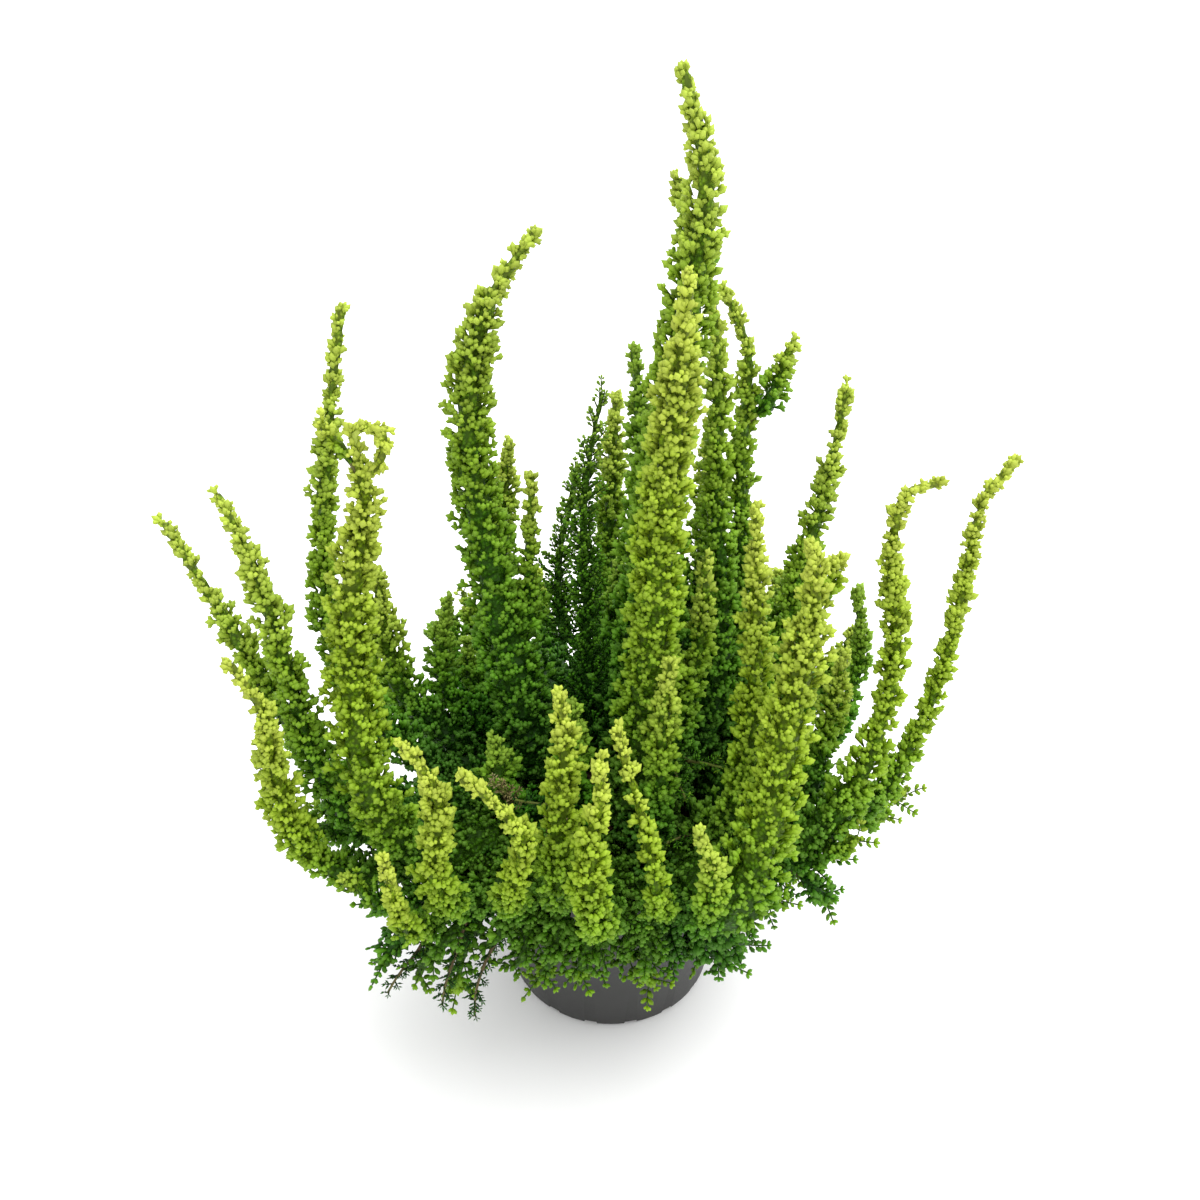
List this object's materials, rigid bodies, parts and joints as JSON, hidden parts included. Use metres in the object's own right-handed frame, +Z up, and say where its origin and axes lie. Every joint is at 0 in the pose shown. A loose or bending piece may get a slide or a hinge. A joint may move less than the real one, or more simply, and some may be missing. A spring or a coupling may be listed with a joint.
{
  "type": "potted heather",
  "caption": "Bushy bud heather with upright lime-green spires of scale leaves, growing in soil in a plain tapered black nursery pot",
  "frame": {"origin": "the middle of the pot's flat foot, on the surface it stands on", "axes": "+Z up along the pot's axis and the tallest spire, -Y towards the side the plant is looked at from, +X to that side's right"},
  "size_m": [0.306, 0.2156, 0.391],
  "materials": {
    "moulded_plastic": "moulded, fine matte grain, near black",
    "potting_soil": "moist peat and bark, crumbly and matt",
    "foliage_lime": "young scale leaves, yellow-lime, satin",
    "foliage_green": "grown scale leaves, fresh green, satin",
    "foliage_dark": "inner scale leaves, deep green, satin"
  },
  "bodies": {
    "root": {"pot": "moulded_plastic", "soil": "potting_soil", "stem_left_outer": "foliage_green", "stem_left_high": "foliage_green", "stem_left_lime": "foliage_lime", "stem_left_slim": "foliage_green", "stem_left_column": "foliage_lime", "stem_front_left": "foliage_lime", "stem_front_left_low": "foliage_lime", "stem_inner_left": "foliage_green", "stem_inner_left_dark": "foliage_dark", "stem_inner_back": "foliage_dark", "stem_middle_left": "foliage_green", "stem_centre_feather": "foliage_dark", "stem_centre_back": "foliage_dark", "stem_centre_tall": "foliage_green", "stem_centre_front": "foliage_lime", "stem_right_pair": "foliage_green", "stem_right_fork": "foliage_green", "stem_right_high": "foliage_green", "stem_right_dark": "foliage_dark", "stem_right_curled": "foliage_lime", "stem_right_slim": "foliage_dark", "stem_right_outer": "foliage_lime", "stem_front_right_pale": "foliage_lime", "stem_front_right": "foliage_lime", "stem_right_low": "foliage_green", "stem_middle_right": "foliage_green", "stem_crown_front": "foliage_green", "stem_crown_left": "foliage_dark", "stem_crown_middle": "foliage_dark", "stem_front_arch": "foliage_lime", "stem_front_middle": "foliage_lime", "stem_front_bright": "foliage_lime", "stem_front_thin": "foliage_lime", "stem_front_short": "foliage_green", "stem_low_left": "foliage_green", "stem_low_left_front": "foliage_green", "stem_low_left_edge": "foliage_green", "stem_low_right": "foliage_green", "stem_low_right_front": "foliage_green", "stem_back_left": "foliage_dark", "stem_back_left_high": "foliage_green", "stem_back_middle": "foliage_green", "stem_back_right_high": "foliage_green", "stem_back_right": "foliage_green", "stem_side_right": "foliage_green", "stem_side_left": "foliage_green", "stem_low_back_right": "foliage_green", "stem_low_back_left": "foliage_green", "stem_low_back_corner": "foliage_green", "stem_crown_back": "foliage_dark", "stem_crown_right": "foliage_dark", "stem_back_corner_left": "foliage_green", "stem_back_edge": "foliage_green"}
  },
  "joints": []
}
